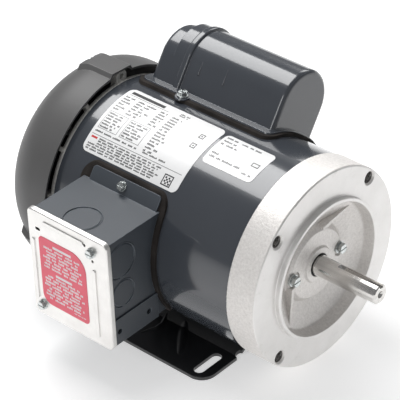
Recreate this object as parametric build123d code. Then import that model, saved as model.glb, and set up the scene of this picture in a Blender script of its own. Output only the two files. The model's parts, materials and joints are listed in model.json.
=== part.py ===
from build123d import *
import os
from math import asin, cos, degrees, radians, sin, sqrt

# Fan-cooled single-phase motor on a 56C frame. Millimetres. X runs along the shaft and out of the
# drive end, Z is up, and the conduit box is on the -Y side. Pieces are modelled about the shaft
# axis and lifted by SHAFT_HEIGHT when they are written, so the feet stand on Z = 0 and the origin
# is at the centre of the four foot slots. A clock angle is counted from the top towards -Y.

# ---- Driving dimensions: frame and mounting ----
SHAFT_HEIGHT = 88.9
FOOT_SPACING_X = 76.2
FOOT_SPACING_Y = 123.8
FOOT_TO_FACE = 65.2
SHAFT_PROJECTION = 52.4
SHAFT_R = 7.9375
SEAL_LAND_R = 8.25
KEYWAY_WIDTH = 4.76
KEYWAY_DEPTH = 2.74
KEYWAY_LENGTH = 34.0
KEYWAY_CLOCK = -6.0
FACE_BOLT_CIRCLE_R = 149.225 / 2
FACE_HOLE_R = 4.4
FACE_SINK_R = 6.2
FACE_HOLE_DEPTH = 18.0
PILOT_R = 57.15
PILOT_HEIGHT = 4.1

# ---- Driving dimensions: barrel and ends ----
BARREL_R = 80.5
BARREL_WALL = 2.2
FLANGE_R = 81.5
FLANGE_THICKNESS = 26.2
BARREL_LENGTH = 178.8
RIM_THICKNESS = 3.7
RIM_R = 80.4
BORE_R = BARREL_R - BARREL_WALL
FACE_X = FOOT_SPACING_X / 2 + FOOT_TO_FACE
BARREL_FRONT_X = FACE_X - FLANGE_THICKNESS
BARREL_BACK_X = BARREL_FRONT_X - BARREL_LENGTH
RIM_BACK_X = BARREL_BACK_X - RIM_THICKNESS
SHAFT_END_X = FACE_X + SHAFT_PROJECTION
LUG_CLOCKS = (-3.0, 117.0, 237.0)
LUG_DISTANCE = 85.0
LUG_R = 5.3
LUG_HOLE_R = 2.4
LUG_TRIM_R = 88.9
LUG_FRONT_X = -103.2
LUG_BACK_X = -110.0
THROUGH_BOLT_CLOCKS = (40.0, 130.0, 220.0, 310.0)
THROUGH_BOLT_CIRCLE_R = 75.5
THROUGH_BOLT_R = 2.4

# ---- Driving dimensions: rotating parts ----
BEARING_WIDTH = 12.0
BEARING_OUTER_R = 20.0
BEARING_SEAT_R = 8.5
BALL_R = 3.37
BALL_PITCH_R = 14.25
BALL_COUNT = 8
DRIVE_BEARING_X = FACE_X - 24.0
REAR_BEARING_X = -122.0
SHOULDER_R = 10.5
ROTOR_SEAT_R = 11.0
CORE_BACK_X = -40.0
CORE_FRONT_X = 35.0
STATOR_BORE_R = 44.0
AIR_GAP = 0.4
STATOR_SLOTS = 36
ROTOR_BARS = 34
FAN_SEAT_R = 7.5
SHAFT_BACK_X = -147.0
FAN_R = 64.0

# ---- Driving dimensions: covers ----
FAN_COVER_R = 88.4
FAN_COVER_WALL = 1.8
FAN_COVER_FRONT_X = -103.3
FAN_COVER_SHOULDER_X = -120.7
FAN_COVER_BACK_X = -163.0
FAN_GRILLE_R = 39.5
LUG_HOUSING_BACK_X = -137.0
LUG_HOUSING_TOP = 90.9
LUG_HOUSING_HALF = (10.0, 15.0)
CAP_CLOCK = -35.0
CAP_BACK_X = -90.9
CAP_STEP_X = -76.7
CAP_FRONT_X = 33.8
CAP_HALF_WIDTH = 27.0
CAP_CROWN = 132.2
CAP_STEP_DROP = 4.0
CAP_WALL = 1.2
CAP_GASKET = 2.5
CAP_SCREW_X = -49.4
CAP_SCREW_OFFSET = 34.4
BOX_X = (-74.7, 2.8)
BOX_Z = (-46.7, 44.0)
BOX_FRONT_Y = -128.0
BOX_WALL = 1.5
BOX_GASKET = 2.0
PLATE_X = (-76.9, 5.2)
PLATE_Z = (-50.6, 46.8)
PLATE_THICKNESS = 1.3
PLATE_SCREWS = ((-10.8, 34.1), (-67.6, -40.5))
BASE_THICKNESS = 2.8
BASE_HALF_LENGTH = 50.8
BASE_HALF_WIDTH = 81.0
FOOT_SLOT_WIDTH = 8.7
FOOT_SLOT_LENGTH = 28.0


# ---- Helpers ----
def save(name, *pieces):
    """Write one sub-part, lifted so that the feet stand on Z = 0."""
    solids = [s for piece in pieces for s in (Pos(0, 0, SHAFT_HEIGHT) * piece).solids()]
    shape = solids[0] if len(solids) == 1 else Compound(children=solids)
    export_step(shape, f"parts/{name}.step")


def block(x_range, y_range, z_range):
    """A rectangular block between two limits on each axis."""
    size = [high - low for low, high in (x_range, y_range, z_range)]
    middle = [(high + low) / 2 for low, high in (x_range, y_range, z_range)]
    return Pos(*middle) * Box(*size)


def tube(x_start, x_end, outer, inner=0.0):
    """A tube, or a round bar, about the shaft axis."""
    ring = Circle(outer) - Circle(inner) if inner else Circle(outer)
    return extrude(Plane.YZ.offset(x_start) * ring, amount=x_end - x_start)


def at_clock(clock, shape):
    """Turn a shape made at the top of the motor to a clock angle."""
    return Rot(X=clock) * shape


def bar(x_start, x_end, radius, clock, distance, inner=0.0):
    """A round bar or tube parallel to the shaft, at a clock angle and distance from its axis."""
    return at_clock(clock, Pos(0, 0, distance) * tube(x_start, x_end, radius, inner))


def stud(x, clock, z_start, z_end, radius, offset=0.0):
    """A round bar that points out from the shaft axis, at a clock angle."""
    upright = Pos(x, offset, (z_start + z_end) / 2) * Cylinder(radius, abs(z_end - z_start))
    return at_clock(clock, upright)


def cross_bar(x, z, half_length, radius):
    """A round bar along Y."""
    return Pos(x, 0, z) * Rot(X=90) * Cylinder(radius, 2 * half_length)


def rounded_face(corners, to_point):
    """A flat face through (a, b) corners; a third number rounds that corner."""
    face = make_face(Polyline(*[to_point(c[0], c[1]) for c in corners], close=True))
    for corner in corners:
        if len(corner) > 2:
            place = Vector(*to_point(corner[0], corner[1]))
            nearest = min(face.vertices(), key=lambda v: (Vector(*tuple(v)) - place).length)
            face = fillet(nearest, corner[2])
    return face


def turned(*corners):
    """A body turned about the shaft axis from (x, radius, rounding) corners."""
    return revolve(rounded_face(corners, lambda x, r: (x, 0, r)), axis=Axis.X)


def patch(x_range, half_chord, corner, inner, outer, clock):
    """A sheet wrapped on the barrel, with a rounded outline centred on a clock angle."""
    outline = RectangleRounded(x_range[1] - x_range[0], 2 * half_chord, corner)
    middle = Pos((x_range[0] + x_range[1]) / 2, 0)
    prism = extrude(Plane.XY.offset(inner / 2) * middle * outline, amount=outer)
    return at_clock(clock, prism & tube(x_range[0] - 1, x_range[1] + 1, outer, inner))


def hex_head(height, across_flats):
    """A hexagon head standing on Z = 0."""
    return extrude(RegularPolygon(across_flats / 2, 6, major_radius=False), amount=height)


def washer_head_screw(length, shank_r, head_r, head_height):
    """A slotted hex-washer screw: its head stands on Z = 0 and its shank points down."""
    flange = Pos(0, 0, 0.5) * Cylinder(head_r, 1.0)
    head = Pos(0, 0, 1.0) * hex_head(head_height - 1.0, 1.5 * head_r)
    slot = Pos(0, 0, head_height) * Box(3 * head_r, 1.0, 1.6)
    shank = Pos(0, 0, -length / 2) * Cylinder(shank_r, length)
    return flange + (head - slot) + shank


# ---- Barrel and base ----
LEAD_HOLE = (-55.0, 90.0, 11.0)
CAP_LEAD_HOLE = (-77.0, CAP_CLOCK, 6.5)
CAP_SCREW_CLOCK = degrees(asin(CAP_SCREW_OFFSET / (BARREL_R + CAP_GASKET)))
CAP_SCREW_CLOCKS = (CAP_CLOCK - CAP_SCREW_CLOCK, CAP_CLOCK + CAP_SCREW_CLOCK)
SMALL_SCREW_R = 2.1
BOX_SCREWS = ((-36.0, 54.1), (-36.0, 113.0))


def stator_shell():
    """Rolled steel barrel with lead holes and tapped screw holes."""
    shell = tube(BARREL_BACK_X, BARREL_FRONT_X, BARREL_R, BORE_R)
    for x, clock, radius in (LEAD_HOLE, CAP_LEAD_HOLE):
        shell -= stud(x, clock, BORE_R - 15, BARREL_R + 5, radius)
    for clock in CAP_SCREW_CLOCKS:
        shell -= stud(CAP_SCREW_X, clock, BORE_R - 5, BARREL_R + 5, SMALL_SCREW_R)
    for x, clock in BOX_SCREWS:
        shell -= stud(x, clock, BORE_R - 5, BARREL_R + 5, SMALL_SCREW_R)
    return shell


def base():
    """Pressed steel saddle with two flat slotted feet, welded under the barrel."""
    floor = -SHAFT_HEIGHT
    saddle_r = BARREL_R + BASE_THICKNESS
    saddle_half, bend_y = 24.0, 41.0
    top_z = -sqrt(BARREL_R**2 - saddle_half**2)
    low_z = -sqrt(saddle_r**2 - saddle_half**2)
    profile = make_face(
        [
            ThreePointArc((-saddle_half, low_z), (0, -saddle_r), (saddle_half, low_z)),
            Polyline(
                (saddle_half, low_z),
                (bend_y, floor),
                (BASE_HALF_WIDTH, floor),
                (BASE_HALF_WIDTH, floor + BASE_THICKNESS),
                (bend_y + 0.6, floor + BASE_THICKNESS),
                (saddle_half, top_z),
            ),
            ThreePointArc((saddle_half, top_z), (0, -BARREL_R), (-saddle_half, top_z)),
            Polyline(
                (-saddle_half, top_z),
                (-bend_y - 0.6, floor + BASE_THICKNESS),
                (-BASE_HALF_WIDTH, floor + BASE_THICKNESS),
                (-BASE_HALF_WIDTH, floor),
                (-bend_y, floor),
                (-saddle_half, low_z),
            ),
        ]
    )
    plate = extrude(Plane.YZ.offset(-BASE_HALF_LENGTH) * profile, amount=2 * BASE_HALF_LENGTH)
    outline = RectangleRounded(2 * BASE_HALF_LENGTH, 2 * BASE_HALF_WIDTH, 13.0)
    plate &= extrude(Plane.XY.offset(floor - 1) * outline, amount=40)
    slot = SlotOverall(FOOT_SLOT_LENGTH, FOOT_SLOT_WIDTH, rotation=90)
    for x_sign in (-1, 1):
        for y_sign in (-1, 1):
            slot_place = Pos(x_sign * FOOT_SPACING_X / 2, y_sign * FOOT_SPACING_Y / 2)
            plate -= extrude(Plane.XY.offset(floor - 1) * slot_place * slot, amount=6)
            relief = Pos(x_sign * BASE_HALF_LENGTH, y_sign * (bend_y - 1.5), floor + 3)
            plate -= relief * Cylinder(3.2, 12)
    return plate


# ---- Drive-end shield ----
HUB_SCREW_DISTANCE = 27.0
HUB_SCREW_CLOCKS = (90.0, 270.0)
HUB_SEAT_X = FACE_X - 9.5
CAP_PLATE_X = (FACE_X - 30.5, FACE_X - 26.0)


def drive_endbell():
    """Cast C-face shield: rabbet, recess, hub, ribs, tapped face holes and bearing pocket."""
    shield = turned(
        (FACE_X - 5.5, 9.6),
        (FACE_X - 5.5, 14.0, 0.8),
        (FACE_X - 7.5, 15.0, 0.8),
        (FACE_X - 7.5, 28.0, 1.5),
        (FACE_X - 10.0, 30.5, 1.0),
        (FACE_X - 13.0, 32.0, 1.5),
        (FACE_X - 5.5, 52.4, 2.2),
        (FACE_X + PILOT_HEIGHT, 54.4, 0.6),
        (FACE_X + PILOT_HEIGHT, PILOT_R, 0.6),
        (FACE_X, PILOT_R, 0.6),
        (FACE_X, FLANGE_R, 1.6),
        (BARREL_FRONT_X, FLANGE_R, 0.6),
        (BARREL_FRONT_X, BORE_R),
        (BARREL_FRONT_X - 8.0, BORE_R),
        (BARREL_FRONT_X - 8.0, 71.5),
        (FACE_X - 24.0, 68.5, 2.0),
        (FACE_X - 10.0, 66.5, 3.0),
        (FACE_X - 10.0, 57.5, 3.0),
        (FACE_X - 13.5, 52.5, 2.0),
        (FACE_X - 20.5, 33.0, 2.0),
        (FACE_X - 20.5, 27.5),
        (FACE_X - 26.0, 27.0),
        (FACE_X - 26.0, BEARING_OUTER_R),
        (FACE_X - 12.0, BEARING_OUTER_R),
        (FACE_X - 12.0, 15.8),
        (FACE_X - 11.5, 15.8),
        (FACE_X - 11.5, 11.0),
        (FACE_X - 7.0, 11.0),
        (FACE_X - 7.0, 9.6),
    )
    for clock in HUB_SCREW_CLOCKS:
        shield += bar(FACE_X - 26.0, FACE_X - 19.0, 5.0, clock, HUB_SCREW_DISTANCE)
        shield -= bar(HUB_SEAT_X, FACE_X - 4.0, 7.0, clock, HUB_SCREW_DISTANCE)
    rib = block((FACE_X - 13.5, FACE_X - 6.4), (-16.0, 16.0), (-1.4, 1.4))
    rib_mid, rib_tilt = (22.2, 30.9), 7.7
    shield += Pos(0, rib_mid[0], rib_mid[1]) * Rot(X=rib_tilt) * rib
    shield += Pos(0, -rib_mid[1], -rib_mid[0]) * Rot(X=90 - rib_tilt) * rib
    shield -= tube(FACE_X - 30, FACE_X - 26, 40)
    for clock in HUB_SCREW_CLOCKS:
        shield -= bar(FACE_X - 27.0, HUB_SEAT_X + 1, 2.3, clock, HUB_SCREW_DISTANCE)
    for clock in (45.0, 135.0, 225.0, 315.0):
        start = FACE_X - FACE_HOLE_DEPTH
        shield -= bar(start, FACE_X + 1, FACE_HOLE_R, clock, FACE_BOLT_CIRCLE_R)
        sink = Pos(FACE_X - 0.9, 0, FACE_BOLT_CIRCLE_R) * Rot(Y=90) * Cone(FACE_HOLE_R, FACE_SINK_R, 1.8)
        shield -= at_clock(clock, sink)
    for clock in THROUGH_BOLT_CLOCKS:
        bolt_end = BARREL_FRONT_X + 4.0
        shield -= bar(60.0, bolt_end, THROUGH_BOLT_R, clock, THROUGH_BOLT_CIRCLE_R)
    return shield


def bearing_cap():
    """Inner cap that clamps the drive-end bearing's outer race."""
    cap = tube(CAP_PLATE_X[0], CAP_PLATE_X[1], 33.0, 13.0)
    cap += tube(CAP_PLATE_X[1] - 0.5, DRIVE_BEARING_X, 19.8, 16.6)
    for clock in HUB_SCREW_CLOCKS:
        cap -= bar(CAP_PLATE_X[0] - 1, CAP_PLATE_X[1] + 1, 2.0, clock, HUB_SCREW_DISTANCE)
    return cap


def bearing_cap_screws():
    """Two hex-washer screws that pull the bearing cap against the hub."""
    screw = washer_head_screw(HUB_SEAT_X + 1.2 - CAP_PLATE_X[0], 2.0, 4.9, 4.6)
    return [
        at_clock(clock, Pos(HUB_SEAT_X + 1.2, 0, HUB_SCREW_DISTANCE) * Rot(Y=90) * screw)
        for clock in HUB_SCREW_CLOCKS
    ]


def bearing_cap_washers():
    """Split lock washers under the hub screws."""
    split = block((HUB_SEAT_X - 1, HUB_SEAT_X + 3), (-0.4, 0.4), (2.0, 6.0))
    ring = tube(HUB_SEAT_X, HUB_SEAT_X + 1.2, 4.7, 2.1) - split
    return [at_clock(c, Pos(0, 0, HUB_SCREW_DISTANCE) * ring) for c in HUB_SCREW_CLOCKS]


def shaft_seal():
    """Rubber ring seal in the hub bore, just clear of the shaft."""
    return turned(
        (FACE_X - 11.2, SEAL_LAND_R + 0.06),
        (FACE_X - 11.2, 11.0),
        (FACE_X - 7.0, 11.0),
        (FACE_X - 7.0, 9.4),
        (FACE_X - 6.0, 9.2),
        (FACE_X - 6.0, SEAL_LAND_R + 0.06),
    )


# ---- Rear shield ----
BOARD_X = (-103.0, -101.0)
BOARD_POST_CLOCKS = (60.0, 180.0, 300.0)
BOARD_POST_DISTANCE = 52.0


def rear_endbell():
    """Cast rear shield: rim, bearing pocket, fan-cover lugs and short air-gap ribs."""
    shield = turned(
        (BARREL_BACK_X, RIM_R),
        (RIM_BACK_X, RIM_R, 0.5),
        (RIM_BACK_X, 70.0, 1.0),
        (-112.5, 60.0, 3.0),
        (-114.5, 30.0, 2.0),
        (-127.0, 27.0, 2.0),
        (-127.0, 9.0),
        (-123.5, 9.0),
        (-123.5, BEARING_OUTER_R),
        (-109.0, BEARING_OUTER_R),
        (-109.0, 25.0),
        (-107.0, 28.0, 1.0),
        (-107.0, 60.0, 3.0),
        (BARREL_BACK_X + 8.0, 71.5),
        (BARREL_BACK_X + 8.0, BORE_R),
        (BARREL_BACK_X, BORE_R),
    )
    for clock in LUG_CLOCKS:
        lug = Pos(0, 0, LUG_DISTANCE) * tube(LUG_BACK_X, LUG_FRONT_X, LUG_R)
        lug += block((LUG_BACK_X, LUG_FRONT_X), (-LUG_R, LUG_R), (80.0, LUG_DISTANCE))
        lug &= tube(LUG_BACK_X, LUG_FRONT_X, LUG_TRIM_R)
        lug += block((LUG_BACK_X, RIM_BACK_X + 1.4), (-LUG_R, LUG_R), (72.0, 81.0))
        shield += at_clock(clock, lug)
        for step in (27.0, 54.0, 81.0):
            nub = block((LUG_BACK_X, LUG_FRONT_X - 1.0), (-1.7, 1.7), (72.0, 84.3))
            shield += at_clock(clock + step, nub)
    for clock in LUG_CLOCKS:
        shield -= bar(LUG_BACK_X - 2, LUG_FRONT_X + 1, LUG_HOLE_R, clock, LUG_DISTANCE)
    for clock in THROUGH_BOLT_CLOCKS:
        shield -= bar(-130.0, -90.0, THROUGH_BOLT_R + 0.2, clock, THROUGH_BOLT_CIRCLE_R)
    for clock in BOARD_POST_CLOCKS:
        shield += bar(-108.0, BOARD_X[0], 3.5, clock, BOARD_POST_DISTANCE)
        shield -= bar(-106.0, BOARD_X[0] + 1, 1.5, clock, BOARD_POST_DISTANCE)
    return shield


def through_bolts():
    """Four long bolts inside the barrel that clamp the two shields together."""
    bolt = tube(RIM_BACK_X, BARREL_FRONT_X + 4.0, THROUGH_BOLT_R)
    head = Pos(RIM_BACK_X - 4.0, 0, 0) * Rot(Y=90) * hex_head(4.0, 8.0)
    place = Pos(0, 0, THROUGH_BOLT_CIRCLE_R)
    return [at_clock(clock, place * (bolt + head)) for clock in THROUGH_BOLT_CLOCKS]


def wave_spring():
    """Wavy washer that preloads the rear bearing, shown as its flattened ring."""
    return tube(-123.5, REAR_BEARING_X, 19.5, 16.8)


# ---- Bearings ----
def bearing_pieces(x_start):
    """Outer race with its shields, inner race, balls and cage of one deep-groove bearing."""
    middle = x_start + BEARING_WIDTH / 2
    x_end = x_start + BEARING_WIDTH
    groove = Pos(middle, 0, 0) * Rot(Y=90) * Torus(BALL_PITCH_R, BALL_R + 0.1)
    outer = tube(x_start, x_end, BEARING_OUTER_R, 16.6) - groove
    inner = tube(x_start, x_end, 11.9, BEARING_SEAT_R) - groove
    clocks = [i * 360 / BALL_COUNT for i in range(BALL_COUNT)]
    balls = [at_clock(c, Pos(middle, 0, BALL_PITCH_R) * Sphere(BALL_R)) for c in clocks]
    cage = tube(middle - 4.6, middle + 4.6, 15.3, 13.2)
    for clock in clocks:
        cage -= at_clock(clock, Pos(middle, 0, BALL_PITCH_R) * Sphere(BALL_R + 0.06))
    shields = [tube(x, x + 0.5, 16.6, 12.3) for x in (x_start + 0.4, x_end - 0.9)]
    return {"outer": [outer, *shields], "inner": [inner], "balls": balls, "cage": [cage]}


# ---- Stator ----
def slot_clocks():
    """Clock angles of the stator slots."""
    return [i * 360 / STATOR_SLOTS for i in range(STATOR_SLOTS)]


def radial_rectangle(width, inner, outer, clock):
    """A rectangle in the cross-section plane, along a radius."""
    centre = Pos(0, (inner + outer) / 2)
    return Rot(Z=clock) * centre * Rectangle(width, outer - inner)


def stator_core():
    """Slotted lamination stack pressed into the barrel, notched for the through bolts."""
    section = Circle(BORE_R) - Circle(STATOR_BORE_R)
    for clock in slot_clocks():
        section -= radial_rectangle(4.0, 46.5, 62.0, clock)
        section -= radial_rectangle(2.2, 43.0, 47.0, clock)
    core = extrude(Plane.YZ.offset(CORE_BACK_X) * section, amount=CORE_FRONT_X - CORE_BACK_X)
    for clock in THROUGH_BOLT_CLOCKS:
        notch = block((CORE_BACK_X - 1, CORE_FRONT_X + 1), (-3.2, 3.2), (72.0, BARREL_R))
        core -= at_clock(clock, notch)
    return core


def winding(slot_range, ring_range, ring_length):
    """Copper in every slot joined by a rounded end-turn ring at each end of the core."""
    section = Sketch() + [
        radial_rectangle(3.4, slot_range[0], slot_range[1], clock) for clock in slot_clocks()
    ]
    start = CORE_BACK_X - 3
    coils = extrude(Plane.YZ.offset(start) * section, amount=CORE_FRONT_X - start + 3)
    for near, far in (
        (CORE_FRONT_X + 1.5, CORE_FRONT_X + ring_length),
        (CORE_BACK_X - 1.5, CORE_BACK_X - ring_length),
    ):
        inner, outer = ring_range
        coils += turned((near, inner, 1.0), (near, outer, 1.0), (far, outer, 3.5), (far, inner, 3.5))
    return coils


# ---- Rotor ----
def keyway():
    """Cutter for the open keyway, with the round run-out of its milling disc."""
    floor = SHAFT_R - KEYWAY_DEPTH
    start = SHAFT_END_X - KEYWAY_LENGTH
    half = KEYWAY_WIDTH / 2
    cutter = block((start, SHAFT_END_X + 1), (-half, half), (floor, SHAFT_R + 3))
    disc = Pos(start, 0, floor + 6.0) * Rot(X=90) * Cylinder(6.0, KEYWAY_WIDTH)
    return at_clock(KEYWAY_CLOCK, cutter + disc)


def shaft():
    """Stepped steel shaft with an open keyway and a centre hole."""
    solid = turned(
        (SHAFT_BACK_X, 0),
        (SHAFT_BACK_X, FAN_SEAT_R - 0.6),
        (SHAFT_BACK_X + 0.6, FAN_SEAT_R),
        (REAR_BEARING_X - 0.5, FAN_SEAT_R),
        (REAR_BEARING_X - 0.5, BEARING_SEAT_R),
        (REAR_BEARING_X + BEARING_WIDTH, BEARING_SEAT_R),
        (REAR_BEARING_X + BEARING_WIDTH, SHOULDER_R),
        (CORE_BACK_X - 18, SHOULDER_R),
        (CORE_BACK_X - 17.5, ROTOR_SEAT_R),
        (CORE_FRONT_X + 20, ROTOR_SEAT_R),
        (CORE_FRONT_X + 20.5, SHOULDER_R),
        (DRIVE_BEARING_X, SHOULDER_R),
        (DRIVE_BEARING_X, BEARING_SEAT_R),
        (DRIVE_BEARING_X + BEARING_WIDTH + 0.1, BEARING_SEAT_R),
        (DRIVE_BEARING_X + BEARING_WIDTH + 0.2, SEAL_LAND_R),
        (FACE_X - 4.0, SEAL_LAND_R),
        (FACE_X - 4.0, SHAFT_R),
        (SHAFT_END_X - 0.9, SHAFT_R),
        (SHAFT_END_X, SHAFT_R - 0.9),
        (SHAFT_END_X, 0),
    )
    centre = tube(SHAFT_END_X - 10, SHAFT_END_X + 1, 1.5)
    centre += Pos(SHAFT_END_X - 1.2, 0, 0) * Rot(Y=90) * Cone(1.5, 2.9, 2.4)
    return solid - centre - keyway()


def rotor_bar_clocks():
    """Clock angles of the rotor bars."""
    return [i * 360 / ROTOR_BARS for i in range(ROTOR_BARS)]


def bar_circles(radius):
    """The rotor bars' cross-sections."""
    return [Rot(Z=clock) * Pos(0, 39.6) * Circle(radius) for clock in rotor_bar_clocks()]


def rotor_core():
    """Rotor lamination stack with a hole for each bar."""
    section = Circle(STATOR_BORE_R - AIR_GAP) - Circle(ROTOR_SEAT_R) - bar_circles(2.2)
    return extrude(Plane.YZ.offset(CORE_BACK_X) * section, amount=CORE_FRONT_X - CORE_BACK_X)


def rotor_cage():
    """Cast aluminium bars and end rings with small paddles."""
    start = CORE_BACK_X - 1
    bars = Sketch() + bar_circles(2.2)
    cage = extrude(Plane.YZ.offset(start) * bars, amount=CORE_FRONT_X - start + 1)
    cage += tube(CORE_FRONT_X, CORE_FRONT_X + 8, 42.3, 32.0)
    cage += tube(CORE_BACK_X - 8, CORE_BACK_X, 42.3, 32.0)
    for i in range(8):
        for x_range in ((CORE_FRONT_X + 7, CORE_FRONT_X + 17), (CORE_BACK_X - 17, CORE_BACK_X - 7)):
            cage += at_clock(i * 45.0, block(x_range, (-1.2, 1.2), (33.0, 41.0)))
    return cage


# ---- Cooling fan and its cover ----
def cooling_fan():
    """Moulded radial fan: hub, front disc and straight blades that work both ways."""
    fan = tube(-144.0, -128.0, 15.0, FAN_SEAT_R)
    fan += tube(-131.0, -128.5, FAN_R, 14.0)
    for i in range(8):
        blade = rounded_face(
            (
                (-128.8, 14.0),
                (-128.8, FAN_R),
                (-144.0, FAN_R - 3, 5.0),
                (-149.0, 30.0, 6.0),
                (-138.0, 18.5),
                (-138.0, 14.0),
            ),
            lambda x, r: (x, 0, r),
        )
        fan += at_clock(i * 45.0, extrude(blade, amount=1.2, both=True))
    return fan


def fan_clip():
    """Spring clip that grips the fan hub on the shaft."""
    ring = tube(-143.0, -139.0, 16.2, 15.0)
    gap = block((-144.0, -138.0), (-2.0, 2.0), (0, 20))
    ears = [block((-143.0, -139.0), y, (14.9, 20.0)) for y in ((2.0, 3.2), (-3.2, -2.0))]
    return ring - gap + ears


def dome(inset):
    """The fan cover's outline turned into a solid, moved in by a wall thickness."""
    shoulder = Pos(FAN_COVER_SHOULDER_X, FAN_GRILLE_R) * Ellipse(
        FAN_COVER_SHOULDER_X - FAN_COVER_BACK_X - inset, FAN_COVER_R - FAN_GRILLE_R - inset
    )
    back = FAN_COVER_BACK_X + inset
    front = FAN_COVER_FRONT_X + (1.0 if inset else 0.0)
    low = Pos((back + front) / 2, FAN_GRILLE_R / 2) * Rectangle(front - back, FAN_GRILLE_R)
    top = FAN_COVER_R - inset
    barrel = Pos((FAN_COVER_SHOULDER_X + front) / 2, top / 2)
    barrel *= Rectangle(front - FAN_COVER_SHOULDER_X, top)
    upper_half = Pos(front - 60, 60) * Rectangle(120, 120)
    profile = (shoulder + low + barrel) & upper_half
    return revolve(Plane.XZ * profile, axis=Axis.X)


def lug_housing(inset):
    """A flat-topped ridge with sloping sides over one lug, moved in by a wall thickness."""
    top, (narrow, wide) = LUG_HOUSING_TOP - inset, LUG_HOUSING_HALF
    ends = FAN_COVER_R - 4.5
    section = make_face(
        Polyline(
            (inset - wide, ends - 10),
            (inset - wide, ends),
            (inset - narrow, top),
            (narrow - inset, top),
            (wide - inset, ends),
            (wide - inset, ends - 10),
            close=True,
        )
    )
    start, end = LUG_HOUSING_BACK_X + inset, FAN_COVER_FRONT_X + (1.0 if inset else 0.0)
    return extrude(Plane.YZ.offset(start) * section, amount=end - start)


def grille_slots():
    """Cutters for the rings of air slots in the back of the fan cover."""
    spokes = [at_clock(i * 30.0, block((-175, -140), (-1.7, 1.7), (5, 70))) for i in range(12)]
    cutters = Part()
    for inner in (12.0, 22.0, 32.0, 42.0, 52.0):
        cutters += tube(-172.0, -151.0, inner + 5.5, inner)
    return cutters - spokes


def fan_cover():
    """Cover over the fan with three flat-topped screw housings and a slotted back."""
    outside = dome(0.0)
    inside = dome(FAN_COVER_WALL)
    ceiling = LUG_HOUSING_TOP - 1.4
    for clock in LUG_CLOCKS:
        outside += at_clock(clock, lug_housing(0.0) & dome(FAN_COVER_R - LUG_HOUSING_TOP - 1.5))
        inside += at_clock(clock, lug_housing(1.6) & dome(FAN_COVER_R - LUG_HOUSING_TOP + 0.3))
    cover = outside - inside
    for clock in LUG_CLOCKS:
        post = bar(-150.0, -110.0, 6.3, clock, LUG_DISTANCE)
        web = at_clock(clock, block((-137.0, -110.0), (-1.5, 1.5), (LUG_DISTANCE, ceiling + 0.5)))
        cover += (post + web) & outside
        cover -= bar(-160.0, LUG_HOUSING_BACK_X + 1.8, 5.1, clock, LUG_DISTANCE)
        cover -= bar(-140.0, -108.0, 2.4, clock, LUG_DISTANCE)
    return cover - grille_slots()


def fan_cover_screws():
    """Three long screws from the back of the cover into the rear shield's lugs."""
    seat = LUG_HOUSING_BACK_X + 1.8
    screw = washer_head_screw(-106.5 - seat, LUG_HOLE_R - 0.2, 4.4, 4.0)
    place = Pos(seat, 0, LUG_DISTANCE) * Rot(Y=-90)
    return [at_clock(clock, place * screw) for clock in LUG_CLOCKS]


# ---- Centrifugal switch ----
PIVOT_X = -80.0
PIVOT_Z = 22.0
ARM_PIVOT_X = -98.4
ARM_PIVOT_Z = -34.0


def both_sides(shape):
    """A shape and its half-turn copy about the shaft axis."""
    return [shape, at_clock(180.0, shape)]


def governor_plate():
    """Pressed plate on the shaft with two pairs of ears for the weights."""
    plate = tube(-70.0, -68.0, 24.0, SHOULDER_R)
    plate += tube(-70.0, -60.0, 15.0, SHOULDER_R)
    for y_range in ((8.5, 10.0), (-10.0, -8.5)):
        for ear in both_sides(block((-83.0, -68.0), y_range, (17.0, 25.0))):
            plate += ear
    for hole in both_sides(cross_bar(PIVOT_X, PIVOT_Z, 12.0, 1.5)):
        plate -= hole
    return plate


def flyweight():
    """Upper weight: a heavy block outboard and a finger down into the collar's groove."""
    outline = (
        (-1.2, -7.4, 0.8), (1.2, -7.4, 0.8), (1.5, -2.5), (4.0, 4.0), (14.0, 4.0, 1.0),
        (14.0, 12.0, 2.0), (2.0, 12.0, 2.0), (-2.6, 4.0, 1.0), (-2.6, -2.0),
    )
    face = rounded_face(outline, lambda x, z: (PIVOT_X + x, 0, PIVOT_Z + z))
    weight = extrude(face, amount=4.0, both=True)
    return weight - cross_bar(PIVOT_X, PIVOT_Z, 12.0, 1.55)


def flyweight_pins():
    """Pivot pins of the weights with return springs coiled round them."""
    turns = both_sides(cross_bar(PIVOT_X, PIVOT_Z, 11.0, 1.5))
    for start in (4.6, -8.2):
        for i in range(4):
            ring = Pos(PIVOT_X, start + 0.6 + i * 0.95, PIVOT_Z) * Rot(X=90) * Torus(2.1, 0.45)
            turns += both_sides(ring)
    return turns


def governor_collar():
    """Plastic spool that slides on the shaft between the weights and the switch arm."""
    spool = tube(-99.0, -77.0, 14.0, SHOULDER_R + 0.08)
    spool += tube(-99.0, -97.0, 19.0, 13.0)
    spool += tube(-84.0, -82.6, 16.0, 13.0)
    return spool + tube(-78.4, -77.0, 16.0, 13.0)


def switch_board():
    """Insulating board on three posts of the rear shield, with the arm's two pivot ears."""
    board = tube(BOARD_X[0], BOARD_X[1], 58.0, 24.0)
    for clock in BOARD_POST_CLOCKS:
        board -= bar(BOARD_X[0] - 1, BOARD_X[1] + 1, 1.5, clock, BOARD_POST_DISTANCE)
    for y_range in ((6.0, 7.5), (-7.5, -6.0)):
        board += block((BOARD_X[1] - 1, -96.0), y_range, (-37.5, -30.5))
    return board - cross_bar(ARM_PIVOT_X, ARM_PIVOT_Z, 9.0, 1.2)


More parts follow.
